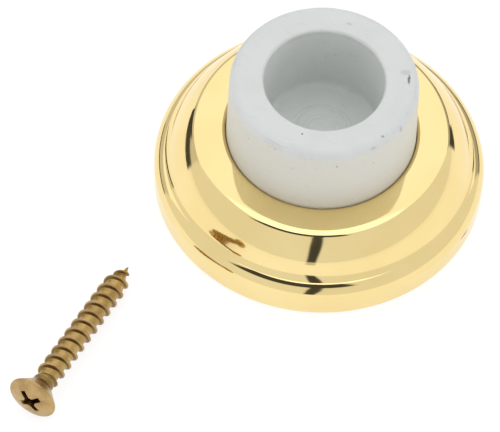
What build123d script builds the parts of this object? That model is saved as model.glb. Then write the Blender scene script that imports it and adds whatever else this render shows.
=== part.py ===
"""Round wall door stop: pressed brass cover, steel backing plate, rubber bumper and its screw.

The stop's back lies on the XY plane and its axis is +Z, away from the wall.
The fixing screw lies loose beside the stop, on the same plane. All sizes are in millimetres.
"""

import os
from math import atan2, cos, degrees, radians, sin, tan

from build123d import *

# Cover: overall sizes of the pressed shell
base_radius = 31.75
rim_height = 15.635
sheet = 0.6

# Cover: moulding, its widths measured in from the base radius and its rises from the skirt's height
skirt_height = 6.64  # up to the corner that the shoulder rounds off
crease_width = 2.05
crease_rise = 0.91
cove_width = 2.75
cove_rise = 1.56
bell_width = 4.63
bell_drop = 2.855  # from the rim down to the bend below it
rim_width = 7.48
crown_width = 1.07
crown_rise = 0.189
ring_slope = 3.19  # degrees, from the crown up to the bumper
foot_round = 0.9
shoulder_round = 3.4
crease_round = 0.1
cove_round = 3.9
bell_round = 15.0
rim_round = 1.7
crown_round = 8.0
collar_round = 0.75
lip_width = 2.0
collar_depth = 9.0

# Backing plate
plate_thickness = 1.2
plate_clearance = 0.1
boss_radius = 8.5
boss_run = 2.4
screw_hole_radius = 2.7

# Bumper
projection = 32.0
bumper_radius = 18.15
bumper_draft = 0.9  # degrees of taper on the wall that shows
socket_clearance = 0.1
shoulder_fillet = 1.9
mouth_radius = 11.5
mouth_fillet = 0.7
recess_depth = 16.0
recess_draft = 3.0  # degrees
recess_fillet = 1.3
head_pocket_clearance = 1.2
head_pocket_depth = 3.8
pocket_fillet = 0.5
plug_chamfer = 0.8
underside_fillet = 0.3

# Fixing screw
screw_length = 36.2
head_radius = 4.8
head_angle = 82.0
head_edge = 0.25
head_dome = 1.15
neck_radius = 2.1
neck_length = 0.9
neck_taper = 0.8
core_radius = 1.75
thread_radius = 2.5
thread_pitch = 2.45
thread_turns = 11
thread_phase = -54.8  # degrees round the screw at which the thread starts
thread_root = 0.55  # half of the thread's width at its root
thread_crest = 0.12  # half of its width at its crest
thread_sink = 0.1
tip_length = 5.0
tip_thread_run = 3.5
tip_thread_height = 0.25
tip_thread_share = 0.4  # the thread's width near the point, as a share of its full width
recess_span = 5.5
recess_wing = 1.1
recess_cut = 3.2
recess_taper = 8.0  # degrees
recess_turn = 49.5  # degrees round the screw
screw_x = -51.7
screw_y = -56.6
screw_heading = 63.15  # degrees from +X, from the head towards the point

# Sizes that follow from the ones above
inner_skirt_radius = base_radius - sheet
rim_radius = base_radius - rim_width
collar_bore = bumper_radius + socket_clearance
crown_radius = rim_radius - crown_width
ring_height = rim_height + crown_rise + (crown_radius - collar_bore) * tan(radians(ring_slope))
plate_bottom = sheet
plate_top = plate_bottom + plate_thickness
plate_radius = inner_skirt_radius - (foot_round - sheet) - plate_clearance
head_pocket_radius = head_radius + head_pocket_clearance


def cover_outline():
    """Corner points of the cover's outer surface, from its lip to its collar, with their rounds."""
    points = [
        (inner_skirt_radius - lip_width, 0),
        (base_radius, 0),
        (base_radius, skirt_height),
        (base_radius - crease_width, skirt_height + crease_rise),
        (base_radius - cove_width, skirt_height + cove_rise),
        (base_radius - bell_width, rim_height - bell_drop),
        (rim_radius, rim_height),
        (crown_radius, rim_height + crown_rise),
        (collar_bore, ring_height),
        (collar_bore, ring_height - collar_depth),
    ]
    rounds = [
        foot_round,
        shoulder_round,
        crease_round,
        cove_round,
        bell_round,
        rim_round,
        crown_round,
        collar_round,
    ]
    return points, rounds


def inner_outline(points, rounds):
    """The same outline one sheet's thickness to its left, which is the cover's inner surface."""
    corners = [Vector(*point) for point in points]
    runs = [(end - start).normalized() for start, end in zip(corners, corners[1:])]
    lefts = [Vector(-run.Y, run.X) for run in runs]
    inner_points = [corners[0] + lefts[0] * sheet]
    inner_rounds = []
    for index, outer_round in enumerate(rounds):
        left_before, left_after = lefts[index], lefts[index + 1]
        shift = (left_before + left_after) * (sheet / (1 + left_before.dot(left_after)))
        inner_points.append(corners[index + 1] + shift)
        turns_left = runs[index].cross(runs[index + 1]).Z > 0
        inner_rounds.append(max(outer_round + (-sheet if turns_left else sheet), 0))
    inner_points.append(corners[-1] + lefts[-1] * sheet)
    return inner_points, inner_rounds


def bumper_outline():
    """Corner points of the bumper's half section, from its underside round to its head pocket."""
    top_radius = bumper_radius - (projection - ring_height) * tan(radians(bumper_draft))
    floor_height = projection - recess_depth
    floor_radius = mouth_radius - recess_depth * tan(radians(recess_draft))
    pocket_top = plate_top + head_pocket_depth
    points = [
        (head_pocket_radius, plate_top),
        (bumper_radius - plug_chamfer, plate_top),
        (bumper_radius, plate_top + plug_chamfer),
        (bumper_radius, ring_height),
        (top_radius, projection),
        (mouth_radius, projection),
        (floor_radius, floor_height),
        (0, floor_height),
        (0, pocket_top),
        (head_pocket_radius, pocket_top),
    ]
    rounds = [
        underside_fillet,
        0,
        0,
        0,
        shoulder_fillet,
        mouth_fillet,
        recess_fillet,
        0,
        0,
        pocket_fillet,
    ]
    return points, rounds


def thread_section(depth, share):
    """The thread's outline on a plane whose X runs outwards, at a share of its full width."""
    return Polyline(
        (-thread_sink, -thread_root * share),
        (depth, -thread_crest * share),
        (depth, thread_crest * share),
        (-thread_sink, thread_root * share),
        close=True,
    )


# Cover: one pressed sheet with its foot curled in under the backing plate
with BuildPart() as cover:
    outline_points, outline_rounds = cover_outline()
    inner_points, inner_rounds = inner_outline(outline_points, outline_rounds)
    with BuildSketch(Plane.XZ):
        with BuildLine():
            FilletPolyline(
                *outline_points,
                *reversed(inner_points),
                radius=[0, *outline_rounds, 0, 0, *reversed(inner_rounds), 0],
                close=True,
            )
        make_face()
    revolve(axis=Axis.Z)
cover.part.label = "cover"

# Backing plate: a disc on the cover's lip, dished at its centre to touch the wall
with BuildPart() as backing_plate:
    with BuildSketch(Plane.XZ):
        with BuildLine():
            Polyline(
                (screw_hole_radius, 0),
                (boss_radius, 0),
                (boss_radius + boss_run, plate_bottom),
                (plate_radius, plate_bottom),
                (plate_radius, plate_top),
                (boss_radius + boss_run, plate_top),
                (boss_radius, plate_thickness),
                (screw_hole_radius, plate_thickness),
                close=True,
            )
        make_face()
    revolve(axis=Axis.Z)
backing_plate.part.label = "backing_plate"

# Bumper: a rubber plug with a deep round recess in its face
with BuildPart() as bumper:
    outline_points, outline_rounds = bumper_outline()
    with BuildSketch(Plane.XZ):
        with BuildLine():
            FilletPolyline(*outline_points, radius=outline_rounds, close=True)
        make_face()
    revolve(axis=Axis.Z)
bumper.part.label = "bumper"

# Fixing screw: it rests on its head's edge and on the last full turn of its thread
cone_height = (head_radius - neck_radius) / tan(radians(head_angle / 2))
neck_start = head_edge + cone_height
last_turn = screw_length - tip_length
screw_tilt = degrees(atan2(head_radius - thread_radius, last_turn - head_edge))
heading = Vector(cos(radians(screw_heading)), sin(radians(screw_heading)), 0)
screw_plane = Plane(
    origin=(screw_x, screw_y, head_radius * cos(radians(screw_tilt))),
    x_dir=heading * cos(radians(screw_tilt)) - Vector(0, 0, sin(radians(screw_tilt))),
    z_dir=(heading.Y, -heading.X, 0),
)
screw_axis = Axis(screw_plane.origin, screw_plane.x_dir)

# The thread is cut in two runs that meet at the last full turn: one along the shank, one down the tip
helix_radius = core_radius - thread_sink
thread_depth = thread_radius - helix_radius
tip_angle = degrees(atan2(helix_radius, tip_length))
thread_run = thread_turns * thread_pitch
with BuildPart() as thread:
    with BuildLine() as shank_path:
        Helix(pitch=thread_pitch, height=thread_run, radius=helix_radius)
    start_plane = Plane(shank_path.line @ 0, x_dir=(1, 0, 0), z_dir=shank_path.line % 0)
    with BuildSketch(start_plane):
        with BuildLine():
            thread_section(thread_depth, 1)
        make_face()
    sweep(path=shank_path.line, is_frenet=True)

with BuildPart() as tip_thread:
    with BuildLine() as tip_path:
        Helix(pitch=thread_pitch, height=tip_thread_run, radius=helix_radius, cone_angle=-tip_angle)
    tip_start = Plane(tip_path.line @ 0, x_dir=(1, 0, 0), z_dir=tip_path.line % 0)
    tip_end = tip_path.line @ 1
    outwards = Vector(tip_end.X, tip_end.Y, 0)
    tip_stop = Plane(tip_end, x_dir=outwards, z_dir=tip_path.line % 1)
    with BuildSketch(tip_start) as tip_first:
        with BuildLine():
            thread_section(thread_depth, 1)
        make_face()
    with BuildSketch(tip_stop) as tip_last:
        with BuildLine():
            thread_section(tip_thread_height, tip_thread_share)
        make_face()
    sweep(
        sections=[tip_first.sketch.face(), tip_last.sketch.face()],
        path=tip_path.line,
        is_frenet=True,
        multisection=True,
    )

turn_plane = Plane(
    origin=screw_plane.from_local_coords((last_turn - thread_run, 0, 0)),
    x_dir=screw_plane.y_dir.rotate(screw_axis, thread_phase),
    z_dir=screw_plane.x_dir,
)
recess_plane = Plane(
    origin=screw_plane.from_local_coords((-head_dome, 0, 0)),
    x_dir=screw_plane.y_dir.rotate(screw_axis, recess_turn),
    z_dir=screw_plane.x_dir,
)

with BuildPart() as fixing_screw:
    with BuildSketch(screw_plane):
        with BuildLine():
            Polyline(
                (0, head_radius),
                (head_edge, head_radius),
                (neck_start, neck_radius),
                (neck_start + neck_length, neck_radius),
                (neck_start + neck_length + neck_taper, core_radius),
                (last_turn, core_radius),
                (screw_length, 0),
                (-head_dome, 0),
            )
            RadiusArc(
                (0, head_radius),
                (-head_dome, 0),
                (head_radius**2 + head_dome**2) / (2 * head_dome),
            )
        make_face()
    revolve(axis=screw_axis)
    add(turn_plane.from_local_coords(thread.part))
    add(turn_plane.offset(thread_run).from_local_coords(tip_thread.part))
    with BuildSketch(recess_plane):
        Rectangle(recess_span, recess_wing)
        Rectangle(recess_wing, recess_span)
    extrude(amount=recess_cut, taper=recess_taper, mode=Mode.SUBTRACT)
fixing_screw.part.label = "fixing_screw"

os.makedirs("parts", exist_ok=True)
export_step(cover.part, "parts/cover.step")
export_step(backing_plate.part, "parts/backing_plate.step")
export_step(bumper.part, "parts/bumper.step")
export_step(fixing_screw.part, "parts/fixing_screw.step")
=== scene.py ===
"""Looks of a round wall door stop and its loose fixing screw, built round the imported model.

The stop's back lies on the XY plane and its axis is +Z, away from the wall. Each piece is drawn in
millimetres in its own frame and comes out in metres in the model's frame.
"""

import logging
import math
from dataclasses import dataclass
from enum import Enum
from typing import ClassVar, NamedTuple

import bmesh
import bpy
from mathutils import Matrix, Vector

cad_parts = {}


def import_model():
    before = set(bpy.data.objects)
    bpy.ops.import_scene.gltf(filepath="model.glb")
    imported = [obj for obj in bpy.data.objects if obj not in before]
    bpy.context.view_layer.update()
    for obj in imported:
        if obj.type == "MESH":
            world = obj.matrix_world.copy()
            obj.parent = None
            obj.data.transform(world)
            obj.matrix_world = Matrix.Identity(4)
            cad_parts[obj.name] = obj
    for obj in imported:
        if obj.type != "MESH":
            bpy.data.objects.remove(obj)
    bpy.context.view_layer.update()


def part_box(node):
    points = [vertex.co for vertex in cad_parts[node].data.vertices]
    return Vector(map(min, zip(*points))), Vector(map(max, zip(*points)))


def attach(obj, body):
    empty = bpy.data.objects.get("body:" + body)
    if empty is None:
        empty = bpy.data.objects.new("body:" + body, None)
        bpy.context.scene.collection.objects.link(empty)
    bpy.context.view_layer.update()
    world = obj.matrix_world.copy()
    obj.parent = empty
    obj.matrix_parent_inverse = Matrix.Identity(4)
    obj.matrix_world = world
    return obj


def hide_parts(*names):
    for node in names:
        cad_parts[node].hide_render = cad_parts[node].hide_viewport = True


MM = 0.001
RING_HEIGHT = 16.1  # mm from the wall to where the cover's face would meet the bumper
ON_AXIS = 1e-6  # mm from the axis, below which a point lies on it
NOISE_SPREAD = (0.3, 0.7)  # between which nearly all of a noise's values lie
Socket = bpy.types.NodeSocket
log = logging.getLogger("door_stop")


# ---- Outlines and turned surfaces ----


class Corner(NamedTuple):
    """A corner of an outline: its radius and height, and the round that eases it."""

    radius: float
    height: float
    round: float = 0.0


class Station(NamedTuple):
    """A point of a finished outline, with the outward normal of the surface there."""

    radius: float
    height: float
    out_radius: float
    out_height: float


@dataclass
class Outline:
    """A half section to be turned about an axis, with the material on the left of its path.

    Corners are joined by straight runs and eased by tangent arcs. An outline that is not closed
    starts and ends on the axis.
    """

    corners: list[Corner]
    closed: bool
    arc_step: float = 4.0  # degrees between points on an arc
    longest_run: float = 1.5  # mm between points on a straight or an arc

    def stations(self) -> list[Station]:
        """Walks round the outline.

        Returns:
            Its points in order, each with the surface's outward normal.
        """
        found: list[Station] = []
        count = len(self.corners)
        for index, corner in enumerate(self.corners):
            at_end = not self.closed and index in (0, count - 1)
            if at_end:
                other = self.corners[1] if index == 0 else self.corners[-2]
                here, there = Vector(corner[:2]), Vector(other[:2])
                run = (there - here if index == 0 else here - there).normalized()
                self._add(found, here, Vector((run.y, -run.x)))
                continue
            before = Vector(self.corners[index - 1][:2])
            after = Vector(self.corners[(index + 1) % count][:2])
            self._add_round(found, before, Vector(corner[:2]), after, corner.round)
        if self.closed:
            self._add(found, Vector(found[0][:2]), Vector(found[0][2:]))
            found.pop()
        return found

    def _add(self, found: list[Station], place: Vector, out: Vector) -> None:
        """Adds a point, and the ones between it and the last if the run to it is long.

        Args:
            found: the points so far.
            place: where the new point is.
            out: the outward normal there.
        """
        if found:
            last = Vector(found[-1][:2])
            steps = math.ceil((place - last).length / self.longest_run)
            for step in range(1, steps):
                between = last.lerp(place, step / steps)
                found.append(Station(between.x, between.y, out.x, out.y))
        found.append(Station(place.x, place.y, out.x, out.y))

    def _add_round(
        self, found: list[Station], before: Vector, corner: Vector, after: Vector, size: float
    ) -> None:
        """Adds the arc that eases one corner.

        Args:
            found: the points so far.
            before: the corner before this one.
            corner: the corner itself.
            after: the corner after it.
            size: the arc's radius.
        """
        arriving = (corner - before).normalized()
        leaving = (after - corner).normalized()
        cross = arriving.x * leaving.y - arriving.y * leaving.x
        turn = math.atan2(cross, arriving.dot(leaving))
        reach = size * math.tan(abs(turn) / 2)
        side = 1.0 if turn > 0 else -1.0
        start = corner - arriving * reach
        centre = start + Vector((-arriving.y, arriving.x)) * (side * size)
        by_angle = abs(math.degrees(turn)) / self.arc_step
        by_length = size * abs(turn) / self.longest_run
        steps = max(1, math.ceil(max(by_angle, by_length)))
        for step in range(steps + 1):
            swing = Matrix.Rotation(turn * step / steps, 2)
            out = swing @ Vector((arriving.y, -arriving.x))
            place = centre + out * (side * size)
            if step:
                found.append(Station(place.x, place.y, out.x, out.y))
            else:
                self._add(found, place, out)


@dataclass
class Turned:
    """A surface of revolution about local Z, with true normals so that it shades smoothly."""

    outline: Outline
    columns: int = 256

    def mesh(self, name: str) -> bpy.types.Mesh:
        """Turns the outline.

        Args:
            name: the mesh's name.

        Returns:
            The mesh, in metres.
        """
        points, normals, rings = spin(self.outline.stations(), self.columns)
        mesh = bpy.data.meshes.new(name)
        mesh.from_pydata(points, [], join_rings(rings, self.columns, self.outline.closed))
        mesh.transform(Matrix.Scale(MM, 4))
        mesh.shade_smooth()
        mesh.normals_split_custom_set_from_vertices(normals)
        return mesh


def spin(
    stations: list[Station], columns: int
) -> tuple[list[Vector], list[Vector], list[list[int]]]:
    """Turns an outline's points about local Z.

    Args:
        stations: the outline's points.
        columns: how many copies of each point go round.

    Returns:
        The points, their normals, and the point numbers of each ring.
    """
    points: list[Vector] = []
    normals: list[Vector] = []
    rings: list[list[int]] = []
    for station in stations:
        on_axis = station.radius < ON_AXIS
        ring = []
        for column in range(1 if on_axis else columns):
            angle = 2 * math.pi * column / columns
            across = Vector((math.cos(angle), math.sin(angle), 0.0))
            ring.append(len(points))
            points.append(across * station.radius + Vector((0, 0, station.height)))
            out = Vector((0, 0, 1 if station.out_height > 0 else -1))
            if not on_axis:
                out = across * station.out_radius + Vector((0, 0, station.out_height))
            normals.append(out)
        rings.append(ring)
    return points, normals, rings


def join_rings(rings: list[list[int]], columns: int, closed: bool) -> list[list[int]]:
    """Joins each ring of points to the next one.

    Args:
        rings: the point numbers of each ring, where a ring of one point is on the axis.
        columns: how many points a whole ring has.
        closed: whether the last ring joins the first.

    Returns:
        The faces, as lists of point numbers.
    """
    pairs = list(zip(rings, rings[1:]))
    if closed:
        pairs.append((rings[-1], rings[0]))
    faces = []
    for low, high in pairs:
        for column in range(columns):
            after = (column + 1) % columns
            face = [
                low[column % len(low)],
                low[after % len(low)],
                high[after % len(high)],
                high[column % len(high)],
            ]
            faces.append(list(dict.fromkeys(face)))
    return faces


def soft_step(share: float) -> float:
    """Holds a share between 0 and 1, and eases its way out of both ends."""
    share = min(1.0, max(0.0, share))
    return share * share * (3 - 2 * share)


def show(mesh: bpy.types.Mesh, name: str) -> bpy.types.Object:
    """Puts a mesh in the scene.

    Args:
        mesh: the mesh, in the model's frame.
        name: the piece's name.

    Returns:
        The new object.
    """
    piece = bpy.data.objects.new(name, mesh)
    bpy.context.scene.collection.objects.link(piece)
    return piece


# ---- Shader helpers and the effects that finishes share ----


class NodePen:
    """Draws nodes in one node tree and joins them up."""

    def __init__(self, tree: bpy.types.NodeTree) -> None:
        """Starts on a tree with nothing in it.

        Args:
            tree: the node tree to draw in.
        """
        self.tree = tree
        tree.nodes.clear()

    def add(self, kind: str, inputs: dict | None = None, **settings: object) -> bpy.types.Node:
        """Adds a node.

        Args:
            kind: the node's type name, without its leading ShaderNode.
            inputs: values or sockets for its inputs, by name or number.
            settings: the node's own settings.

        Returns:
            The node.
        """
        prefix = "" if kind.startswith("NodeGroup") else "ShaderNode"
        node = self.tree.nodes.new(prefix + kind)
        for name, value in settings.items():
            setattr(node, name, value)
        for name, value in (inputs or {}).items():
            self.feed(node.inputs[name], value)
        return node

    def feed(self, socket: Socket, value: object) -> None:
        """Gives an input a value, or joins it to another node's output.

        Args:
            socket: the input.
            value: the value, or the other node's output.
        """
        if isinstance(value, Socket):
            self.tree.links.new(value, socket)
        else:
            socket.default_value = value

    def calc(self, operation: str, *values: object) -> Socket:
        """Works out one arithmetic step.

        Args:
            operation: the Math node's operation.
            values: its numbers or sockets.

        Returns:
            The result's socket.
        """
        return self.add("Math", dict(enumerate(values)), operation=operation).outputs[0]

    def vector(self, operation: str, first: object, second: object) -> Socket:
        """Works out one step of vector arithmetic, and returns its socket."""
        return self.add("VectorMath", {0: first, 1: second}, operation=operation).outputs[0]

    def ramp(
        self, value: object, start: float, end: float, low: object = 0.0, high: object = 1.0
    ) -> Socket:
        """Turns a value into a smooth step.

        Args:
            value: what is read.
            start: the value at which the step begins.
            end: the value at which it ends.
            low: the result before the step.
            high: the result after it.

        Returns:
            The result's socket.
        """
        inputs = {"Value": value, "From Min": start, "From Max": end, "To Min": low, "To Max": high}
        step = self.add("MapRange", inputs, interpolation_type="SMOOTHSTEP", clamp=True)
        return step.outputs["Result"]

    def over(self, value: object, limit: float, soft: float) -> Socket:
        """Masks the places where a value is over a limit, and returns the mask's socket."""
        return self.ramp(value, limit - soft, limit + soft)

    def under(self, value: object, limit: float, soft: float) -> Socket:
        """Masks the places where a value is under a limit, and returns the mask's socket."""
        return self.ramp(value, limit - soft, limit + soft, 1.0, 0.0)

    def band(self, value: object, start: float, end: float, soft: float) -> Socket:
        """Masks the places where a value lies between two limits.

        Args:
            value: what is read.
            start: the lower limit.
            end: the upper limit.
            soft: half the width of each limit's step.

        Returns:
            The mask's socket.
        """
        return self.calc("MULTIPLY", self.over(value, start, soft), self.under(value, end, soft))

    def colour(self, share: object, first: object, second: object) -> Socket:
        """Mixes two colours by a share, and returns the mixed colour's socket."""
        mix = self.add("Mix", {0: share, 6: first, 7: second}, data_type="RGBA")
        return mix.outputs[2]

    def strongest(self, masks: list[Socket]) -> Socket:
        """Takes the highest of several masks at each place.

        Args:
            masks: the masks, at least one.

        Returns:
            The result's socket.
        """
        highest = masks[0]
        for mask in masks[1:]:
            highest = self.calc("MAXIMUM", highest, mask)
        return highest

    def relief(
        self, shader: bpy.types.Node, height: Socket, strength: float, depth: float
    ) -> None:
        """Gives a shader a fine relief.

        Args:
            shader: the shader.
            height: the relief's height over the surface, from 0 to 1.
            strength: how much of it shows, from 0 to 1.
            depth: how deep a height of 1 is, in millimetres.
        """
        bump = self.add("Bump", {"Strength": strength, "Distance": depth * MM, "Height": height})
        self.feed(shader.inputs["Normal"], bump.outputs[0])

    def group(self, tree: bpy.types.NodeTree, **values: object) -> bpy.types.Node:
        """Places a shared effect.

        Args:
            tree: the effect's node group.
            values: this material's values for its inputs.

        Returns:
            The node.
        """
        node = self.add("Group", node_tree=tree)
        for name, value in values.items():
            self.feed(node.inputs[name], value)
        return node


class Blemish(NamedTuple):
    """A mark on a piece: its middle and its reach along each axis, in mm, and its strength."""

    at: tuple[float, float, float]
    reach: tuple[float, float, float]
    strength: float


class Effect(Enum):
    """The effects that more than one finish uses, each a shader node group."""

    GRAIN = "surface_grain"
    SCRATCHES = "fine_scratches"
    SPECKS = "small_specks"
    MARK = "single_mark"


class EffectBox:
    """Builds each shared effect once and hands it out."""

    def __init__(self) -> None:
        """Starts with no effect built."""
        self._made: dict[Effect, bpy.types.NodeTree] = {}

    def get(self, effect: Effect) -> bpy.types.NodeTree:
        """Finds the node group of an effect, and builds it the first time it is asked for.

        Args:
            effect: which effect.

        Returns:
            Its node group.
        """
        if effect not in self._made:
            builders = {
                Effect.GRAIN: self._grain,
                Effect.SCRATCHES: self._scratches,
                Effect.SPECKS: self._specks,
                Effect.MARK: self._mark,
            }
            self._made[effect] = builders[effect](effect.value)
        return self._made[effect]

    @staticmethod
    def _start(
        name: str, inputs: dict[str, object], outputs: tuple[str, ...]
    ) -> tuple[NodePen, bpy.types.Node, bpy.types.Node]:
        """Starts a node group.

        Args:
            name: the group's name.
            inputs: its inputs and their usual values.
            outputs: the names of its outputs.

        Returns:
            A pen for the group, its input node and its output node.
        """
        tree = bpy.data.node_groups.new(name, "ShaderNodeTree")
        for title, value in inputs.items():
            kind = "NodeSocketVector" if isinstance(value, tuple) else "NodeSocketFloat"
            socket = tree.interface.new_socket(title, in_out="INPUT", socket_type=kind)
            socket.default_value = value
        for title in outputs:
            tree.interface.new_socket(title, in_out="OUTPUT", socket_type="NodeSocketFloat")
        pen = NodePen(tree)
        return pen, pen.add("NodeGroupInput"), pen.add("NodeGroupOutput")

    def _grain(self, name: str) -> bpy.types.NodeTree:
        """Broad tone and fine height of a surface that isn't quite even.

        Args:
            name: the group's name.

        Returns:
            The node group.
        """
        pen, given, result = self._start(name, {"Size": 1.0, "Fineness": 4.0}, ("Tone", "Height"))
        place = pen.add("TexCoord").outputs["Object"]
        scale = pen.calc("DIVIDE", 1.0 / MM, given.outputs["Size"])
        broad = pen.add("TexNoise", {"Vector": place, "Scale": scale, "Detail": 3.0})
        finer = pen.calc("MULTIPLY", scale, given.outputs["Fineness"])
        fine = pen.add("TexNoise", {"Vector": place, "Scale": finer, "Detail": 5.0})
        pen.feed(result.inputs["Tone"], pen.ramp(broad.outputs[0], *NOISE_SPREAD))
        pen.feed(result.inputs["Height"], fine.outputs[0])
        return pen.tree

    def _scratches(self, name: str) -> bpy.types.NodeTree:
        """Sparse hair-fine marks that run along and across the surface.

        Args:
            name: the group's name.

        Returns:
            The node group.
        """
        pen, given, result = self._start(name, {"Size": 4.0, "Amount": 0.3}, ("Mask",))
        place = pen.add("TexCoord").outputs["Object"]
        scale = pen.calc("DIVIDE", 1.0 / MM, given.outputs["Size"])
        limit = pen.calc("SUBTRACT", 0.84, pen.calc("MULTIPLY", given.outputs["Amount"], 0.2))
        masks = []
        for tilt, stretch in ((0.5, (1.0, 28.0, 9.0)), (2.1, (24.0, 1.0, 7.0))):
            turned = pen.add("Mapping", {"Vector": place, "Rotation": (0.3, 0.2, tilt)})
            longer = pen.add("Mapping", {"Vector": turned.outputs[0], "Scale": stretch})
            hair = pen.add("TexNoise", {"Vector": longer.outputs[0], "Scale": scale, "Detail": 1.0})
            over = pen.calc("SUBTRACT", hair.outputs[0], limit)
            masks.append(pen.calc("MULTIPLY", over, 14.0))
        strongest = pen.calc("MAXIMUM", *masks)
        pen.feed(result.inputs["Mask"], pen.calc("MINIMUM", pen.calc("MAXIMUM", strongest, 0.0), 1.0))
        return pen.tree

    def _specks(self, name: str) -> bpy.types.NodeTree:
        """Scattered round specks, such as dust or tiny bubbles in a moulding.

        Args:
            name: the group's name.

        Returns:
            The node group.
        """
        pen, given, result = self._start(name, {"Spacing": 5.0, "Width": 0.15}, ("Mask",))
        place = pen.add("TexCoord").outputs["Object"]
        scale = pen.calc("DIVIDE", 1.0 / MM, given.outputs["Spacing"])
        cells = pen.add("TexVoronoi", {"Vector": place, "Scale": scale})
        reach = pen.calc("DIVIDE", given.outputs["Width"], given.outputs["Spacing"])
        near = pen.calc("DIVIDE", cells.outputs["Distance"], reach)
        pen.feed(result.inputs["Mask"], pen.ramp(near, 0.5, 1.0, 1.0, 0.0))
        return pen.tree

    def _mark(self, name: str) -> bpy.types.NodeTree:
        """One mark with a ragged edge, at its own place on the piece.

        Args:
            name: the group's name.

        Returns:
            The node group.
        """
        usual = {"Middle": (0.0, 0.0, 0.0), "Reach": (1.0, 1.0, 1.0), "Strength": 1.0, "Ragged": 0.2}
        pen, given, result = self._start(name, usual, ("Mask",))
        place = pen.add("TexCoord").outputs["Object"]
        noise = pen.add("TexNoise", {"Vector": place, "Scale": 1.6 / MM, "Detail": 4.0})
        off = pen.vector("SUBTRACT", noise.outputs["Color"], (0.5, 0.5, 0.5))
        stray = pen.calc("MULTIPLY", given.outputs["Ragged"], 2.0)
        off = pen.add("VectorMath", {0: off, "Scale": stray}, operation="SCALE").outputs[0]
        here = pen.add("VectorMath", {0: place, "Scale": 1.0 / MM}, operation="SCALE").outputs[0]
        away = pen.vector("SUBTRACT", pen.vector("ADD", here, off), given.outputs["Middle"])
        share = pen.vector("DIVIDE", away, given.outputs["Reach"])
        length = pen.add("VectorMath", {0: share}, operation="LENGTH").outputs["Value"]
        spot = pen.ramp(length, 0.3, 1.0, given.outputs["Strength"], 0.0)
        pen.feed(result.inputs["Mask"], spot)
        return pen.tree

    def marks(self, pen: NodePen, blemishes: tuple[Blemish, ...], ragged: float) -> Socket:
        """Places the single marks of one material.

        Args:
            pen: the material's pen.
            blemishes: the marks.
            ragged: how far their edges wander, in millimetres.

        Returns:
            The mask, whose peak in each mark is that mark's strength.
        """
        group = self.get(Effect.MARK)
        masks = []
        for mark in blemishes:
            values = {"Middle": mark.at, "Reach": mark.reach, "Strength": mark.strength}
            masks.append(pen.group(group, Ragged=ragged, **values).outputs["Mask"])
        return pen.strongest(masks)


# ---- Finishes ----

Colour = tuple[float, float, float, float]


@dataclass(frozen=True)
class PolishedBrass:
    """Bright brass, polished to a mirror and lacquered, with faint wiping marks."""

    effects: EffectBox
    bright: Colour = (0.93, 0.75, 0.365, 1.0)
    warm: Colour = (0.90, 0.705, 0.325, 1.0)
    roughness: tuple[float, float] = (0.045, 0.085)
    scratch_roughness: float = 0.1
    spot_colour: Colour = (0.14, 0.06, 0.03, 1.0)
    # Dark brown spots: a dash on the skirt's front right and two small marks near the rim
    dark_spots: tuple[Blemish, ...] = (
        Blemish((28.3, -14.4, 4.0), (1.7, 2.0, 0.5), 1.0),
        Blemish((21.5, -14.0, 15.8), (0.12, 0.5, 0.3), 0.45),
        Blemish((-22.5, 11.5, 15.7), (0.35, 0.3, 0.3), 0.3),
    )

    def material(self) -> bpy.types.Material:
        """Builds the finish.

        Returns:
            The material.
        """
        made, pen, shader = start_material("polished_brass")
        grain = pen.group(self.effects.get(Effect.GRAIN), Size=14.0, Fineness=9.0)
        marks = pen.group(self.effects.get(Effect.SCRATCHES), Size=16.0, Amount=0.25)
        body = pen.colour(grain.outputs["Tone"], self.bright, self.warm)
        spots = self.effects.marks(pen, self.dark_spots, ragged=0.12)
        pen.feed(shader.inputs["Base Color"], pen.colour(spots, body, self.spot_colour))
        smooth = pen.ramp(grain.outputs["Tone"], 0.0, 1.0, *self.roughness)
        worn = pen.calc("MULTIPLY", marks.outputs["Mask"], self.scratch_roughness)
        pen.feed(shader.inputs["Roughness"], pen.calc("ADD", smooth, worn))
        shader.inputs["Metallic"].default_value = 1.0
        pen.relief(shader, marks.outputs["Mask"], strength=0.02, depth=0.02)
        return made


@dataclass(frozen=True)
class PlatedSteel:
    """Pressed steel with a dull zinc plating."""

    effects: EffectBox
    bright: Colour = (0.66, 0.67, 0.66, 1.0)
    dull: Colour = (0.48, 0.49, 0.49, 1.0)
    roughness: tuple[float, float] = (0.28, 0.46)

    def material(self) -> bpy.types.Material:
        """Builds the finish.

        Returns:
            The material.
        """
        made, pen, shader = start_material("plated_steel")
        grain = pen.group(self.effects.get(Effect.GRAIN), Size=5.0, Fineness=12.0)
        marks = pen.group(self.effects.get(Effect.SCRATCHES), Size=9.0, Amount=0.6)
        pen.feed(shader.inputs["Base Color"], pen.colour(grain.outputs["Tone"], self.bright, self.dull))
        rough = pen.ramp(grain.outputs["Height"], *NOISE_SPREAD, *self.roughness)
        pen.feed(shader.inputs["Roughness"], pen.calc("ADD", rough, marks.outputs["Mask"]))
        shader.inputs["Metallic"].default_value = 1.0
        pen.relief(shader, grain.outputs["Height"], strength=0.25, depth=0.03)
        return made


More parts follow.
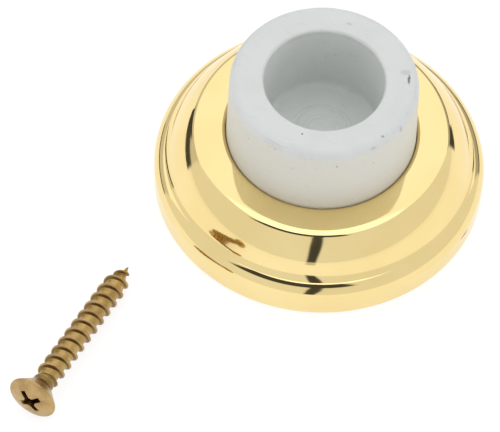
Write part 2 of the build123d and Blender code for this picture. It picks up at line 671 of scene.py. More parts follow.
@dataclass(frozen=True)
class GreyRubber:
    """Pale grey moulded rubber, matt and scuffed, with a creamy tint on its outer wall that paints the
    warm light bounced onto it from the brass.
    """

    effects: EffectBox
    pale: Colour = (0.725, 0.75, 0.735, 1.0)
    dull: Colour = (0.695, 0.72, 0.705, 1.0)
    speck: Colour = (0.16, 0.13, 0.10, 1.0)
    # Creamy tint that paints the warm light bounced from the brass onto the outer wall
    painted_bounce: Colour = (0.745, 0.725, 0.645, 1.0)
    dirt: Colour = (0.10, 0.08, 0.07, 1.0)
    roughness: tuple[float, float] = (0.42, 0.6)
    speck_share: float = 0.5
    scratch_share: float = 0.12
    painted_bounce_share: float = 0.8
    painted_bounce_from: tuple[float, float] = (31.3, 30.3)  # heights between which the painted bounce light fades out, going up the wall
    painted_bounce_radius: float = 15.0
    mould_lines: tuple[float, ...] = (31.55, 31.2, 30.85)
    line_width: float = 0.07
    line_soft: float = 0.03
    line_breaks: tuple[float, float] = (0.45, 0.62)  # of the noise that breaks the lines up
    line_share: float = 0.3
    scuffs: tuple[Blemish, ...] = (
        Blemish((15.9, 1.0, 31.8), (0.4, 1.7, 0.9), 0.85),
        Blemish((15.2, 2.6, 31.9), (1.5, 0.9, 0.6), 0.2),
        Blemish((-3.8, -12.8, 32.0), (0.24, 0.24, 0.3), 0.9),
        Blemish((11.2, -12.3, 31.7), (0.42, 0.42, 0.5), 0.6),
        Blemish((9.2, -14.6, 31.2), (1.6, 0.6, 0.4), 0.25),
        Blemish((3.0, -17.8, 29.0), (0.5, 0.4, 0.45), 0.45),
        Blemish((14.6, -9.7, 30.9), (0.5, 1.1, 0.7), 0.32),
        Blemish((-8.8, -15.5, 30.6), (0.3, 0.3, 0.3), 0.35),
        Blemish((4.2, 13.4, 31.9), (0.9, 0.4, 0.4), 0.25),
    )

    def material(self) -> bpy.types.Material:
        """Builds the finish.

        Returns:
            The material.
        """
        made, pen, shader = start_material("grey_rubber")
        grain = pen.group(self.effects.get(Effect.GRAIN), Size=7.0, Fineness=14.0)
        specks = pen.group(self.effects.get(Effect.SPECKS), Spacing=6.5, Width=0.22)
        marks = pen.group(self.effects.get(Effect.SCRATCHES), Size=7.0, Amount=0.7)
        body = pen.colour(grain.outputs["Tone"], self.pale, self.dull)
        # Painted warm light bounced from the brass, on the outer wall below the shoulder
        body = pen.colour(self._painted_bounce_mask(pen), body, self.painted_bounce)
        share = pen.calc("MULTIPLY", specks.outputs["Mask"], self.speck_share)
        body = pen.colour(share, body, self.speck)
        scuffed = self.effects.marks(pen, self.scuffs, ragged=0.35)
        scratched = pen.calc("MULTIPLY", marks.outputs["Mask"], self.scratch_share)
        worn = pen.strongest([scuffed, self._mould_lines(pen), scratched])
        pen.feed(shader.inputs["Base Color"], pen.colour(worn, body, self.dirt))
        rough = pen.ramp(grain.outputs["Height"], *NOISE_SPREAD, *self.roughness)
        pen.feed(shader.inputs["Roughness"], rough)
        shader.inputs["Specular IOR Level"].default_value = 0.4
        pen.relief(shader, grain.outputs["Height"], strength=0.12, depth=0.04)
        return made

    def _painted_bounce_mask(self, pen: NodePen) -> Socket:
        """Masks the painted warm light bounced from the brass onto the outer wall: not on the face or
        in the recess.

        Args:
            pen: the material's pen.

        Returns:
            The creamy tone's share.
        """
        place = pen.add("TexCoord").outputs["Object"]
        parts = pen.add("SeparateXYZ", {0: place}).outputs
        squares = [pen.calc("MULTIPLY", parts[axis], parts[axis]) for axis in ("X", "Y")]
        limit = (self.painted_bounce_radius * MM) ** 2
        outside = pen.ramp(pen.calc("ADD", *squares), limit, limit * 1.05)
        high, low = self.painted_bounce_from
        lower = pen.ramp(parts["Z"], low * MM, high * MM, 1.0, 0.0)
        return pen.calc("MULTIPLY", pen.calc("MULTIPLY", outside, lower), self.painted_bounce_share)

    def _mould_lines(self, pen: NodePen) -> Socket:
        """Draws the faint worn lines round the shoulder, broken up along their length.

        Args:
            pen: the material's pen.

        Returns:
            Their mask.
        """
        place = pen.add("TexCoord").outputs["Object"]
        height = pen.add("SeparateXYZ", {0: place}).outputs["Z"]
        half = self.line_width / 2
        soft = self.line_soft * MM
        lines = []
        for level in self.mould_lines:
            lines.append(pen.band(height, (level - half) * MM, (level + half) * MM, soft))
        broken = pen.add("TexNoise", {"Vector": place, "Scale": 0.16 / MM, "Detail": 3.0})
        shown = pen.ramp(broken.outputs[0], *self.line_breaks, 0.0, self.line_share)
        return pen.calc("MULTIPLY", pen.strongest(lines), shown)


@dataclass(frozen=True)
class ScrewBrass:
    """Plain brass straight from the thread roller: satin crests and darker, stained roots, with painted
    shade on the thread's flanks and in the driver recess.
    """

    effects: EffectBox
    crest: Colour = (0.555, 0.385, 0.18, 1.0)
    root: Colour = (0.56, 0.375, 0.13, 1.0)
    # Dark brown that paints shade on the thread's flanks and in the driver recess
    painted_flank_shade: Colour = (0.14, 0.082, 0.028, 1.0)
    stain: Colour = (0.28, 0.17, 0.06, 1.0)
    roughness: tuple[float, float] = (0.26, 0.42)
    scratch_roughness: float = 0.2
    flank_shade_reach: tuple[float, float] = (0.06, 0.72)  # where the painted flank shade starts and ends, from root to crest
    flank_shade_soft: float = 0.08
    flank_shade_share: float = 0.85
    stain_share: float = 0.5

    def material(self) -> bpy.types.Material:
        """Builds the finish.

        Returns:
            The material.
        """
        made, pen, shader = start_material("screw_brass")
        grain = pen.group(self.effects.get(Effect.GRAIN), Size=2.2, Fineness=7.0)
        marks = pen.group(self.effects.get(Effect.SCRATCHES), Size=4.0, Amount=0.8)
        # Stored wear from root to crest, with the painted shade of the driver recess stored in it too
        worn = pen.add("Attribute", attribute_name=FixingScrew.WEAR_AND_SHADE).outputs["Fac"]
        body = pen.colour(worn, self.root, self.crest)
        # Painted shade over the band between root and crest, which also takes in the driver recess
        painted_flank_shade = pen.band(worn, *self.flank_shade_reach, self.flank_shade_soft)
        body = pen.colour(pen.calc("MULTIPLY", painted_flank_shade, self.flank_shade_share), body, self.painted_flank_shade)
        tone = pen.calc("MULTIPLY", grain.outputs["Tone"], self.stain_share)
        pen.feed(shader.inputs["Base Color"], pen.colour(tone, body, self.stain))
        rough = pen.ramp(grain.outputs["Height"], *NOISE_SPREAD, *self.roughness)
        scuffed = pen.calc("MULTIPLY", marks.outputs["Mask"], self.scratch_roughness)
        pen.feed(shader.inputs["Roughness"], pen.calc("ADD", rough, scuffed))
        shader.inputs["Metallic"].default_value = 1.0
        pen.relief(shader, grain.outputs["Height"], strength=0.3, depth=0.03)
        return made


def start_material(name: str) -> tuple[bpy.types.Material, NodePen, bpy.types.Node]:
    """Starts a node material with its shader joined to its output.

    Args:
        name: the material's name.

    Returns:
        The material, a pen for its nodes, and its Principled shader.
    """
    material = bpy.data.materials.new(name)
    material.use_nodes = True
    pen = NodePen(material.node_tree)
    shader = pen.add("BsdfPrincipled")
    pen.add("OutputMaterial", {"Surface": shader.outputs["BSDF"]})
    return material, pen, shader


# ---- The stop's pieces ----


class Piece:
    """What every piece has: its CAD node, the body it rides on and its finish's slot."""

    NODE: ClassVar[str]
    BODY: ClassVar[str]
    SLOT: ClassVar[str]

    def dress(self, piece: bpy.types.Object, finish: bpy.types.Material) -> None:
        """Gives the piece its finish and its place in the model.

        Args:
            piece: the built piece.
            finish: its material.
        """
        piece.data.materials.append(finish)
        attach(piece, self.BODY)
        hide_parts(self.NODE)


@dataclass
class Cover(Piece):
    """The pressed brass shell, with its foot curled under and its collar turned in.

    Attributes give the moulding from the wall outwards, in millimetres.
    """

    NODE = "cover"
    BODY = "base"
    SLOT = "polished_brass"
    base_radius: float
    ring_height: float
    sheet: float = 0.6
    skirt_height: float = 6.64
    crease_width: float = 2.05
    crease_rise: float = 0.91
    cove_width: float = 2.75
    cove_rise: float = 1.56
    bell_width: float = 4.63
    bell_drop: float = 2.855
    rim_width: float = 7.48
    crown_width: float = 1.07
    crown_rise: float = 0.189
    ring_rise: float = 0.465
    bore: float = 18.25
    lip_width: float = 2.0
    collar_depth: float = 9.0
    edge: float = 0.14
    foot_round: float = 0.9
    shoulder_round: float = 3.4
    crease_round: float = 0.1
    cove_round: float = 3.9
    bell_round: float = 15.0
    rim_round: float = 1.7
    crown_round: float = 8.0
    collar_round: float = 0.75
    least_round: float = 0.05

    def outer_corners(self) -> list[Corner]:
        """Finds the outer surface.

        Returns:
            Its corners, from the lip under the foot to the collar.
        """
        edge, rim_height = self.base_radius, self.ring_height - self.ring_rise
        skirt, rim = self.skirt_height, edge - self.rim_width
        return [
            Corner(edge - self.sheet - self.lip_width, 0.0, self.edge),
            Corner(edge, 0.0, self.foot_round),
            Corner(edge, skirt, self.shoulder_round),
            Corner(edge - self.crease_width, skirt + self.crease_rise, self.crease_round),
            Corner(edge - self.cove_width, skirt + self.cove_rise, self.cove_round),
            Corner(edge - self.bell_width, rim_height - self.bell_drop, self.bell_round),
            Corner(rim, rim_height, self.rim_round),
            Corner(rim - self.crown_width, rim_height + self.crown_rise, self.crown_round),
            Corner(self.bore, self.ring_height, self.collar_round),
            Corner(self.bore, self.ring_height - self.collar_depth, self.edge),
        ]

    def inner_corners(self, outer: list[Corner]) -> list[Corner]:
        """Finds the inner surface, one sheet's thickness behind the outer one.

        Args:
            outer: the outer surface's corners.

        Returns:
            The inner surface's corners, in the order in which the outline comes back along them.
        """
        places = [Vector(corner[:2]) for corner in outer]
        runs = [(end - start).normalized() for start, end in zip(places, places[1:])]
        lefts = [Vector((-run.y, run.x)) for run in runs]
        inner = [Corner(*(places[0] + lefts[0] * self.sheet), self.edge)]
        for index in range(1, len(outer) - 1):
            before, after = lefts[index - 1], lefts[index]
            shift = (before + after) * (self.sheet / (1 + before.dot(after)))
            cross = runs[index - 1].x * runs[index].y - runs[index - 1].y * runs[index].x
            change = -self.sheet if cross > 0 else self.sheet
            eased = max(outer[index].round + change, self.least_round)
            inner.append(Corner(*(places[index] + shift), eased))
        inner.append(Corner(*(places[-1] + lefts[-1] * self.sheet), self.edge))
        return inner[::-1]

    def build(self) -> bpy.types.Object:
        """Turns the shell.

        Returns:
            The piece.
        """
        outer = self.outer_corners()
        outline = Outline(outer + self.inner_corners(outer), closed=True, arc_step=2.5, longest_run=0.6)
        mesh = Turned(outline, columns=384).mesh("brass_cover")
        return show(mesh, "brass_cover")


@dataclass
class BackingPlate(Piece):
    """The plated steel disc that the screw holds to the wall, dished at its centre."""

    NODE = "backing_plate"
    BODY = "base"
    SLOT = "plated_steel"
    radius: float
    top: float
    thickness: float = 1.2
    hole: float = 2.7
    boss: float = 8.5
    boss_run: float = 2.4
    edge: float = 0.2
    bend: float = 0.8

    def build(self) -> bpy.types.Object:
        """Turns the disc.

        Returns:
            The piece.
        """
        slope_end = self.boss + self.boss_run
        low = self.top - self.thickness
        corners = [
            Corner(self.hole, 0.0, self.edge),
            Corner(self.boss, 0.0, self.bend),
            Corner(slope_end, low, self.bend),
            Corner(self.radius, low, self.edge),
            Corner(self.radius, self.top, self.edge),
            Corner(slope_end, self.top, self.bend),
            Corner(self.boss, self.thickness, self.bend),
            Corner(self.hole, self.thickness, self.edge),
        ]
        mesh = Turned(Outline(corners, closed=True), columns=192).mesh("steel_plate")
        return show(mesh, "steel_plate")


@dataclass
class Bumper(Piece):
    """The push-in rubber plug with a deep round recess in its face."""

    NODE = "bumper"
    BODY = "bumper"
    SLOT = "grey_rubber"
    radius: float
    underside: float
    projection: float
    ring_height: float
    draft: float = 0.9  # degrees
    shoulder: float = 1.9
    mouth_radius: float = 11.5
    mouth_round: float = 0.7
    recess_depth: float = 16.0
    recess_draft: float = 3.0  # degrees
    recess_round: float = 1.3
    pocket_radius: float = 6.0
    pocket_depth: float = 3.8
    pocket_round: float = 0.5
    chamfer: float = 0.8
    foot_round: float = 0.3
    floor_rings: tuple[tuple[float, float], ...] = ((5.4, -0.22), (3.1, -0.16))  # radius, height
    ring_width: float = 0.5
    ring_ease: float = 0.12
    waist_round: float = 4.0

    def build(self) -> bpy.types.Object:
        """Turns the plug.

        Returns:
            The piece.
        """
        rise = self.projection - self.ring_height
        top_radius = self.radius - rise * math.tan(math.radians(self.draft))
        floor = self.projection - self.recess_depth
        floor_radius = self.mouth_radius - self.recess_depth * math.tan(math.radians(self.recess_draft))
        pocket_top = self.underside + self.pocket_depth
        corners = [
            Corner(0.0, pocket_top),
            Corner(self.pocket_radius, pocket_top, self.pocket_round),
            Corner(self.pocket_radius, self.underside, self.foot_round),
            Corner(self.radius - self.chamfer, self.underside, self.foot_round),
            Corner(self.radius, self.underside + self.chamfer, self.foot_round),
            Corner(self.radius, self.ring_height, self.waist_round),
            Corner(top_radius, self.projection, self.shoulder),
            Corner(self.mouth_radius, self.projection, self.mouth_round),
            Corner(floor_radius, floor, self.recess_round),
        ]
        for ring_radius, height in self.floor_rings:
            corners += self._moulded_ring(ring_radius, height, floor)
        corners.append(Corner(0.0, floor))
        # The pocket and the recess look opposite ways, so the path starts and ends on the axis
        outline = Outline(corners, closed=False, longest_run=0.8)
        mesh = Turned(outline, columns=256).mesh("rubber_bumper")
        return show(mesh, "rubber_bumper")

    def _moulded_ring(self, radius: float, height: float, floor: float) -> list[Corner]:
        """Corners of a shallow ring in the recess's floor.

        Args:
            radius: the ring's middle.
            height: how far it stands above the floor, below it if negative.
            floor: the floor's height.

        Returns:
            Its corners, in the order in which the outline meets them.
        """
        half, ease = self.ring_width / 2, self.ring_ease
        return [
            Corner(radius + 2 * half, floor, ease),
            Corner(radius + half, floor + height, ease),
            Corner(radius - half, floor + height, ease),
            Corner(radius - 2 * half, floor, ease),
        ]


@dataclass
class FixingScrew(Piece):
    """The loose countersunk screw, drawn along local Z from its head's rim to its point.

    Local X is the side of the screw that faces up as it lies.
    """

    NODE = "fixing_screw"
    BODY = "screw"
    SLOT = "screw_brass"
    WEAR_AND_SHADE = "worn"
    at: tuple[float, float] = (-51.7, -56.6)
    heading: float = 63.15  # degrees from +X, from the head towards the point
    length: float = 36.2
    head_radius: float = 4.8
    head_edge: float = 0.25
    head_dome: float = 1.15
    head_angle: float = 82.0
    rim_round: float = 0.1
    neck_radius: float = 2.1
    neck_end: float = 4.25
    core_radius: float = 1.75
    core_start: float = 5.05
    tip_length: float = 5.0
    thread_radius: float = 2.5
    pitch: float = 2.45
    crest_place: tuple[float, float] = (10.26, 108.3)  # mm along, degrees round
    thread_start: tuple[float, float] = (4.3, 5.7)
    thread_fade: tuple[tuple[float, float], ...] = ((30.5, 2.5), (32.3, 2.2), (34.6, 1.06), (36.2, 0.0))
    crest_half: float = 0.1
    root_half: float = 0.58
    row_offsets: tuple[float, ...] = (0.0, 0.08, 0.14, 0.2, 0.28, 0.36, 0.44, 0.52, 0.6, 0.8)
    neck_round: float = 0.6
    dome_steps: int = 16
    recess_turn: float = 49.5  # degrees round
    recess_span: float = 5.5
    recess_wing: float = 1.1
    recess_corner: float = 0.45
    # mm along, and the span's and the wings' share of their full size there
    recess_levels: tuple[tuple[float, float, float], ...] = (
        (-2.4, 1.0, 1.0),
        (-1.15, 1.0, 1.0),
        (1.4, 0.5, 0.72),
        (2.0, 0.2, 0.5),
    )
    recess_shade_from: float = -0.3  # mm along, where the painted shade in the driver recess begins
    # Low stored value that makes the finish paint shade in the driver recess
    recess_shade_value: float = 0.1
    recess_shade_margin: float = 0.05
    bare_wear: float = 0.8
    joint_back: float = 0.2  # how far before the neck's end the threaded rows begin
    join_within: float = 1e-4
    crease_angle: float = 38.0  # degrees
    columns: int = 96

    def place(self) -> Matrix:
        """Finds how the screw lies, on its head's edge and its last full turn.

        Returns:
            The move from local millimetres to the model's frame.
        """
        last_turn = self.length - self.tip_length
        drop = self.head_radius - self.thread_radius
        tilt = math.atan2(drop, last_turn - self.head_edge)
        turn = math.radians(self.heading)
        level = Vector((math.cos(turn), math.sin(turn), 0.0))
        along = level * math.cos(tilt) - Vector((0, 0, math.sin(tilt)))
        upper = level * math.sin(tilt) + Vector((0, 0, math.cos(tilt)))
        side = along.cross(upper)
        centre = Vector((*self.at, self.head_radius * math.cos(tilt)))
        turned = Matrix((upper, side, along)).transposed().to_4x4()
        return Matrix.Scale(MM, 4) @ Matrix.Translation(centre) @ turned

    def core(self, along: float) -> float:
        """Finds the radius of the shank without its thread.

        Args:
            along: the distance from the head's rim.

        Returns:
            The radius there.
        """
        if along <= self.neck_end:
            return self.neck_radius
        if along < self.core_start:
            share = (along - self.neck_end) / (self.core_start - self.neck_end)
            return self.neck_radius + (self.core_radius - self.neck_radius) * share
        tip = max(0.0, (self.length - along) / self.tip_length)
        return self.core_radius * min(1.0, tip)

    def crest(self, along: float) -> float:
        """Finds the radius of the thread's crest.

        Args:
            along: the distance from the head's rim.

        Returns:
            The radius there.
        """
        start, full = self.thread_start
        if along < full:
            share = soft_step((along - start) / (full - start))
            return self.core(along) + (self.thread_radius - self.core(along)) * share
        for (low, low_radius), (high, high_radius) in zip(self.thread_fade, self.thread_fade[1:]):
            if low <= along <= high:
                share = (along - low) / (high - low)
                return low_radius + (high_radius - low_radius) * share
        return self.thread_radius

    def rise(self, offset: float) -> float:
        """Finds how far up the thread's flank a point is.

        Args:
            offset: its distance along the screw from the crest's middle.

        Returns:
            Its share of the thread's height.
        """
        return soft_step((self.root_half - abs(offset)) / (self.root_half - self.crest_half))

    def threaded_shank(self, start: float) -> tuple[list[Vector], list[list[int]]]:
        """Draws the shank as rows that follow the thread, so that its crest is one clean line.

        Args:
            start: where along the screw the rows begin.

        Returns:
            The points and the faces.
        """
        half = self.pitch / 2
        offsets = sorted({-row for row in self.row_offsets} | set(self.row_offsets)) + [half]
        rows_each = len(offsets)
        crest_along, crest_turn = self.crest_place
        first = math.floor((start - crest_along) / self.pitch) - 3
        last = math.ceil((self.length - crest_along) / self.pitch) + 3
        points: list[Vector] = []
        for turn in range(first, last):
            for offset in offsets:
                height = self.rise(offset)
                for column in range(self.columns):
                    angle = 2 * math.pi * column / self.columns
                    lead = self.pitch * (math.degrees(angle) - crest_turn) / 360
                    along = crest_along + lead + turn * self.pitch + offset
                    along = min(self.length, max(start, along))
                    low = self.core(along)
                    radius = low + (self.crest(along) - low) * height
                    if along <= start:
                        radius = low
                    points.append(Vector((radius * math.cos(angle), radius * math.sin(angle), along)))
        rows = rows_each * (last - first)
        faces = []
        for row in range(rows - 1):
            for column in range(self.columns):
                shift, after = (0, column + 1) if column + 1 < self.columns else (rows_each, 0)
                if row + 1 + shift >= rows:
                    continue
                near, far = row * self.columns, (row + shift) * self.columns
                face = [near + column, far + after]
                face += [far + self.columns + after, near + self.columns + column]
                faces.append(face)
        return points, faces

    def head(self, end: float) -> tuple[list[Vector], list[list[int]]]:
        """Draws the domed countersunk head and the plain neck.

        Args:
            end: where along the screw the neck meets the threaded rows.

        Returns:
            The points and the faces.
        """
        ball = (self.head_radius**2 + self.head_dome**2) / (2 * self.head_dome)
        slope = (self.head_radius - self.neck_radius) / math.tan(math.radians(self.head_angle / 2))
        corners = [Corner(0.0, -self.head_dome)]
        for step in range(1, self.dome_steps):
            radius = self.head_radius * step / self.dome_steps
            corners.append(Corner(radius, ball - self.head_dome - math.sqrt(ball**2 - radius**2)))
        corners += [
            Corner(self.head_radius, 0.0, self.rim_round),
            Corner(self.head_radius, self.head_edge, self.rim_round),
            Corner(self.neck_radius, self.head_edge + slope, self.neck_round),
            Corner(self.neck_radius, end),
        ]
        outline = Outline(corners, closed=False, arc_step=10, longest_run=0.5)
        points, _, rings = spin(outline.stations(), self.columns)
        return points, join_rings(rings, self.columns, closed=False)

    def recess_cutter(self) -> bpy.types.Object:
        """Builds the cross-shaped punch that makes the driver recess.

        Returns:
            The punch, in the screw's own frame.
        """
        work = bmesh.new()
        rings = []
        for height, span_share, wing_share in self.recess_levels:
            reach = self.recess_span / 2 * span_share
            wing = self.recess_wing / 2 * wing_share
            corner = min(wing + self.recess_corner * span_share, reach * 0.98)
            quarter = [(reach, -wing), (reach, wing), (corner, wing), (wing, corner)]
            ring = []
            for side in range(4):
                turn = Matrix.Rotation(math.radians(self.recess_turn + 90 * side), 2)
                for point in quarter:
                    ring.append(work.verts.new((*(turn @ Vector(point)), height)))
            rings.append(ring)
        for low, high in zip(rings, rings[1:]):
            for index in range(len(low)):
                after = (index + 1) % len(low)
                work.faces.new((low[index], low[after], high[after], high[index]))
        work.faces.new(rings[0][::-1])
        work.faces.new(rings[-1])
        bmesh.ops.recalc_face_normals(work, faces=work.faces)
        mesh = bpy.data.meshes.new("recess_cutter")
        work.to_mesh(mesh)
        work.free()
        return show(mesh, "recess_cutter")

    def build(self) -> bpy.types.Object:
        """Joins head and shank, and cuts the recess.

        Returns:
            The piece.
        """
        joint = self.neck_end - self.joint_back
        points, faces = self.head(joint)
        shank_points, shank_faces = self.threaded_shank(joint)
        faces += [[len(points) + index for index in face] for face in shank_faces]
        mesh = bpy.data.meshes.new("brass_screw")
        mesh.from_pydata(points + shank_points, [], faces)
        work = bmesh.new()
        work.from_mesh(mesh)
        bmesh.ops.remove_doubles(work, verts=work.verts, dist=self.join_within)
        bmesh.ops.dissolve_degenerate(work, edges=work.edges, dist=self.join_within)
        bmesh.ops.recalc_face_normals(work, faces=work.faces)
        work.to_mesh(mesh)
        work.free()
        piece = show(mesh, "brass_screw")
        self._cut_recess(piece)
        self._mark_wear_and_shade(piece.data)
        piece.data.transform(self.place())
        piece.data.shade_smooth()
        piece.data.set_sharp_from_angle(angle=math.radians(self.crease_angle))
        return piece

    def _cut_recess(self, piece: bpy.types.Object) -> None:
        """Cuts the driver recess into the head.

        Args:
            piece: the screw, in its own frame.
        """
        cutter = self.recess_cutter()
        cut = piece.modifiers.new("recess", "BOOLEAN")
        cut.operation, cut.solver, cut.object = "DIFFERENCE", "EXACT", cutter
        bpy.context.view_layer.update()
        evaluated = piece.evaluated_get(bpy.context.evaluated_depsgraph_get())
        finished = bpy.data.meshes.new_from_object(evaluated)
        piece.modifiers.clear()
        piece.data = finished
        bpy.data.objects.remove(cutter)

    def _mark_wear_and_shade(self, mesh: bpy.types.Mesh) -> None:
        """Stores how exposed each point is, from the thread's root to its crest, and inside the driver
        recess a low value that the finish paints as shade.

        Args:
            mesh: the screw's mesh, in its own frame.
        """
        worn = mesh.attributes.new(self.WEAR_AND_SHADE, "FLOAT", "POINT")
        depth = self.thread_radius - self.core_radius
        recess_shade_radius = self.recess_span / 2 + self.recess_shade_margin
        values = []
        for vertex in mesh.vertices:
            radius = Vector(vertex.co[:2]).length
            along = vertex.co.z
            if along >= self.neck_end:
                values.append(min(1.0, max(0.0, (radius - self.core(along)) / depth)))
            # Inside the driver recess: a low value that the finish paints as shade
            elif along > self.recess_shade_from and radius < recess_shade_radius:
                values.append(self.recess_shade_value)
            else:
                values.append(self.bare_wear)
        worn.data.foreach_set("value", values)


# ---- Stage: floor, light and camera ----


@dataclass(frozen=True)
class LightTent:
    """The white room round the object, as a sky whose brightness depends on direction.

    Turn is the direction's angle round from the front, to the right if positive, and height is
    its angle above the horizon. Both are in degrees.
    """

    sides: float = 1.15
    front: float = 0.86
    front_from: float = -104.0
    front_to: float = 121.0
    overhead: float = 1.6
    overhead_height: float = 66.0
    below: float = 1.04
    dark: float = 0.06
    patch_from: float = -58.0
    patch_to: float = 28.0
    patch_low: float = 45.0
    patch_high: float = 68.0
    stand_turn: float = -2.2
    stand_lean: float = 0.1
    stand_half: tuple[float, float] = (3.0, 4.2)
    wall_low: tuple[float, float] = (-18.0, -6.0)
    wall_high: float = 25.0
    wall_left: float = 0.66
    wall_right: float = 0.45
    gap_left: tuple[float, float] = (-136.0, -104.0)
    gap_right: tuple[float, float] = (121.0, 150.0)
    gap_low: float = -7.0
    gap_high: float = 3.0
    gap: float = 0.06
    seen: float = 1.05
    stand_full: float = 30.0
    stand_foot: tuple[float, float] = (-16.0, -1.0)
    stand_foot_share: float = 0.45
    # Half the width of each soft edge
    side_ease: float = 1.5
    horizon_ease: float = 0.5
    wall_ease: float = 3.0
    gap_ease: float = 1.0
    patch_ease: float = 3.0
    high_ease: float = 2.0
    stand_ease: float = 1.0

    def build(self) -> None:
        """Makes the sky the scene's world."""
        world = bpy.data.worlds.new("light_tent")
        bpy.context.scene.world = world
        world.use_nodes = True
        pen = NodePen(world.node_tree)
        direction = pen.add("TexCoord").outputs["Generated"]
        parts = pen.add("SeparateXYZ", {0: direction}).outputs
        height = pen.calc("DEGREES", pen.calc("ARCSINE", parts["Z"]))
        ahead = pen.calc("MULTIPLY", parts["Y"], -1.0)
        turn = pen.calc("DEGREES", pen.calc("ARCTAN2", parts["X"], ahead))
        in_front = pen.band(turn, self.front_from, self.front_to, self.side_ease)
        behind = pen.calc("SUBTRACT", 1.0, in_front)
        wall = pen.under(height, self.wall_high, self.wall_ease)
        wall = pen.calc("MULTIPLY", wall, pen.ramp(height, *self.wall_low))
        low = pen.band(height, self.gap_low, self.gap_high, self.gap_ease)
        across = pen.band(turn, self.patch_from, self.patch_to, self.patch_ease)
        upright = pen.band(height, self.patch_low, self.patch_high, self.high_ease)
        # Each layer is a mask and the brightness that it lays over the layers before it
        layers = [
            (in_front, self.front),
            (pen.under(height, 0.0, self.horizon_ease), self.below),
            (
                pen.calc("MULTIPLY", behind, wall),
                pen.ramp(turn, -90.0, 90.0, self.wall_left, self.wall_right),
            ),
        ]
        for limits in (self.gap_left, self.gap_right):
            opening = pen.band(turn, *limits, self.side_ease)
            layers.append((pen.calc("MULTIPLY", opening, low), self.gap))
        layers += [
            (pen.over(height, self.overhead_height, self.high_ease), self.overhead),
            (pen.calc("MULTIPLY", across, upright), self.dark),
            (self._stand(pen, turn, height), self.dark),
            (pen.add("LightPath").outputs["Is Camera Ray"], self.seen),
        ]
        level: object = self.sides
        for mask, value in layers:
            level = pen.add("Mix", {0: mask, 2: level, 3: value}, data_type="FLOAT").outputs[0]
        sky = pen.add("Background", {"Color": (1.0, 1.0, 1.0, 1.0), "Strength": level})
        pen.add("OutputWorld", {"Surface": sky.outputs[0]})

    def _stand(self, pen: NodePen, turn: Socket, height: Socket) -> Socket:
        """Masks the stand under the lens, which leans to the right and widens upwards.

        Args:
            pen: the sky's pen.
            turn: the direction's turn.
            height: its height.

        Returns:
            The mask.
        """
        middle = pen.calc("ADD", pen.calc("MULTIPLY", height, self.stand_lean), self.stand_turn)
        away = pen.calc("ABSOLUTE", pen.calc("SUBTRACT", turn, middle))
        half = pen.ramp(height, 0.0, self.stand_full, *self.stand_half)
        inside = pen.under(pen.calc("SUBTRACT", away, half), 0.0, self.stand_ease)
        above = pen.over(height, 0.0, self.horizon_ease)
        faint = pen.ramp(height, *self.stand_foot, 0.0, self.stand_foot_share)
        under = pen.calc("MAXIMUM", above, faint)
        reach = pen.under(height, self.patch_high, self.high_ease)
        return pen.calc("MULTIPLY", pen.calc("MULTIPLY", inside, under), reach)


@dataclass(frozen=True)
class Floor:
    """A pale disc under the object, bright enough to read as plain white."""

    radius: float = 160.0
    drop: float = 0.02
    depth: float = 2.0
    edge: float = 0.5
    glow: float = 0.82
    white: float = 0.26

    def build(self) -> None:
        """Makes the disc and gives it its pale, glowing finish."""
        outline = Outline(
            [
                Corner(0.0, -self.depth - self.drop),
                Corner(self.radius, -self.depth - self.drop, self.edge),
                Corner(self.radius, -self.drop, self.edge),
                Corner(0.0, -self.drop),
            ],
            closed=False,
            longest_run=40.0,
        )
        floor = show(Turned(outline, columns=96).mesh("floor"), "floor")
        material, _, shader = start_material("pale_floor")
        shader.inputs["Base Color"].default_value = (self.white, self.white, self.white, 1.0)
        shader.inputs["Roughness"].default_value = 0.9
        shader.inputs["Specular IOR Level"].default_value = 0.0
        shader.inputs["Emission Color"].default_value = (1.0, 1.0, 1.0, 1.0)
        shader.inputs["Emission Strength"].default_value = self.glow
        floor.data.materials.append(material)


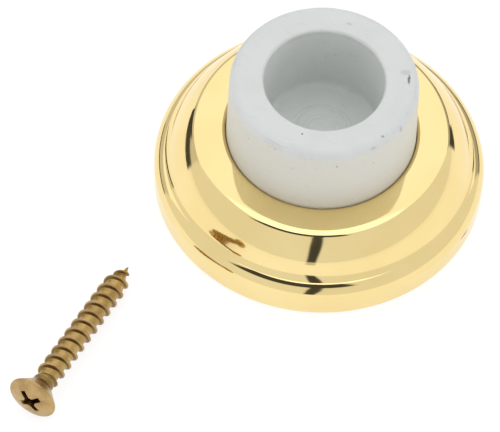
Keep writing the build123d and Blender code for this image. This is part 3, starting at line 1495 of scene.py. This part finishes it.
@dataclass(frozen=True)
class Viewpoint:
    """A long lens that looks down on the stop from the front."""

    height: float = 55.4  # degrees above the floor
    roll: float = 2.72  # degrees
    distance: float = 1000.0
    aim: tuple[float, float] = (-12.80, -9.83)
    lens: float = 374.8
    sensor: float = 36.0

    def build(self) -> bpy.types.Object:
        """Sets up the camera.

        Returns:
            The camera.
        """
        angle, roll = math.radians(self.height), math.radians(self.roll)
        back = Vector((0.0, -math.cos(angle), math.sin(angle)))
        level_up = Vector((0.0, math.sin(angle), math.cos(angle)))
        right = Vector((math.cos(roll), 0.0, 0.0)) + level_up * math.sin(roll)
        upward = back.cross(right)
        data = bpy.data.cameras.new("camera")
        data.lens, data.sensor_width = self.lens, self.sensor
        data.clip_start, data.clip_end = 0.05, 10.0
        camera = bpy.data.objects.new("camera", data)
        bpy.context.scene.collection.objects.link(camera)
        turned = Matrix((right, upward, back)).transposed().to_4x4()
        place = Vector((*self.aim, 0.0)) + back * self.distance
        camera.matrix_world = Matrix.Translation(place * MM) @ turned
        bpy.context.scene.camera = camera
        return camera


# ---- The whole object ----


def report(piece: bpy.types.Object, node: str) -> None:
    """Logs a piece's size and how far its box is from its CAD node's.

    Args:
        piece: the finished piece.
        node: the CAD node that it stands for.
    """
    low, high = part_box(node)
    corners = [Vector(corner) for corner in piece.bound_box]
    least = [min(corner[axis] for corner in corners) for axis in range(3)]
    most = [max(corner[axis] for corner in corners) for axis in range(3)]
    apart = max(abs(least[axis] - low[axis]) for axis in range(3))
    apart = max(apart, *(abs(most[axis] - high[axis]) for axis in range(3)))
    faces = len(piece.data.polygons)
    log.info("%s: %d faces, %.2f mm from %s's box", piece.name, faces, apart / MM, node)


def main() -> None:
    """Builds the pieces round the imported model, with their stage."""
    logging.basicConfig(level=logging.INFO, format="%(message)s")
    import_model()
    bpy.context.scene.view_settings.view_transform = "Standard"

    cover_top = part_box(Cover.NODE)[1] / MM
    plate_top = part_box(BackingPlate.NODE)[1] / MM
    bumper_low, bumper_top = (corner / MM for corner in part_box(Bumper.NODE))
    effects = EffectBox()
    assemblies = (
        (Cover(base_radius=cover_top.x, ring_height=RING_HEIGHT), PolishedBrass(effects)),
        (BackingPlate(radius=plate_top.x, top=plate_top.z), PlatedSteel(effects)),
        (
            Bumper(
                radius=bumper_top.x,
                underside=bumper_low.z,
                projection=bumper_top.z,
                ring_height=RING_HEIGHT,
            ),
            GreyRubber(effects),
        ),
        (FixingScrew(), ScrewBrass(effects)),
    )
    for assembly, finish in assemblies:
        piece = assembly.build()
        assembly.dress(piece, finish.material())
        report(piece, assembly.NODE)

    Floor().build()
    LightTent().build()
    Viewpoint().build()

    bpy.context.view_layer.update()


if __name__ == "__main__":
    main()
